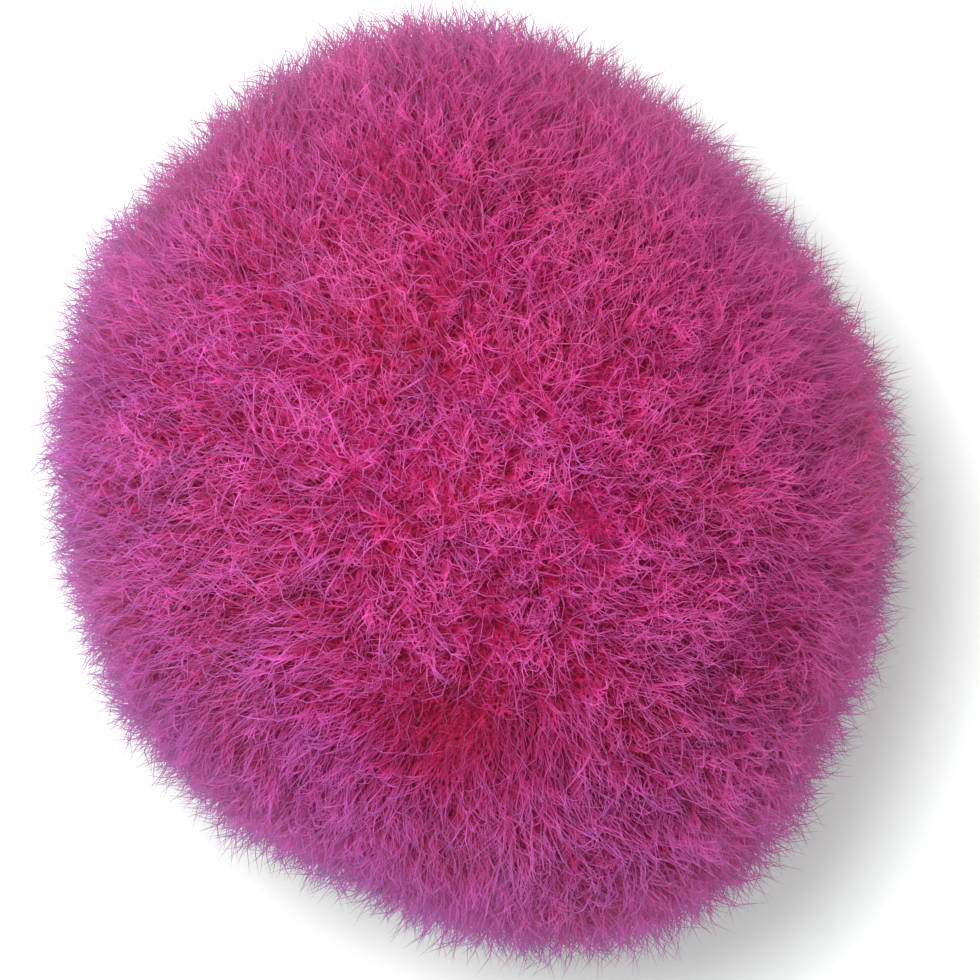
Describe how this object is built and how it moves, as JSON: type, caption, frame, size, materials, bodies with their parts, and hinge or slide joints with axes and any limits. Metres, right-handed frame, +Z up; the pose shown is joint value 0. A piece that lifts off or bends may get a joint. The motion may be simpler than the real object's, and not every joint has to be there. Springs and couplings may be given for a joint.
{
  "type": "cheer pom pom",
  "caption": "Fluffy pom pom ball: a bundle of cut fibre bound at its middle by a thread, so that its ends fan out into a soft, slightly oval pile.",
  "frame": {"origin": "on the surface that the ball rests on, under the middle of its footprint", "axes": "+Z up, +Y along the footprint's long side, +X along its short side"},
  "size_m": [0.0485, 0.054, 0.0458],
  "materials": {
    "pile_fibre": "fine crimped fibre pile, soft and matt with a faint sheen",
    "binding_yarn": "twisted binding thread, matt"
  },
  "bodies": {
    "root": {"core_lock": "pile_fibre", "inner_lock_01": "pile_fibre", "inner_lock_02": "pile_fibre", "inner_lock_03": "pile_fibre", "inner_lock_04": "pile_fibre", "inner_lock_05": "pile_fibre", "inner_lock_06": "pile_fibre", "middle_lock_01": "pile_fibre", "middle_lock_02": "pile_fibre", "middle_lock_03": "pile_fibre", "middle_lock_04": "pile_fibre", "middle_lock_05": "pile_fibre", "middle_lock_06": "pile_fibre", "middle_lock_07": "pile_fibre", "middle_lock_08": "pile_fibre", "middle_lock_09": "pile_fibre", "middle_lock_10": "pile_fibre", "middle_lock_11": "pile_fibre", "middle_lock_12": "pile_fibre", "outer_lock_01": "pile_fibre", "outer_lock_02": "pile_fibre", "outer_lock_03": "pile_fibre", "outer_lock_04": "pile_fibre", "outer_lock_05": "pile_fibre", "outer_lock_06": "pile_fibre", "outer_lock_07": "pile_fibre", "outer_lock_08": "pile_fibre", "outer_lock_09": "pile_fibre", "outer_lock_10": "pile_fibre", "outer_lock_11": "pile_fibre", "outer_lock_12": "pile_fibre", "outer_lock_13": "pile_fibre", "outer_lock_14": "pile_fibre", "outer_lock_15": "pile_fibre", "outer_lock_16": "pile_fibre", "outer_lock_17": "pile_fibre", "outer_lock_18": "pile_fibre", "binding_thread": "binding_yarn", "binding_knot": "binding_yarn", "thread_tail_long": "binding_yarn", "thread_tail_short": "binding_yarn"}
  },
  "joints": []
}
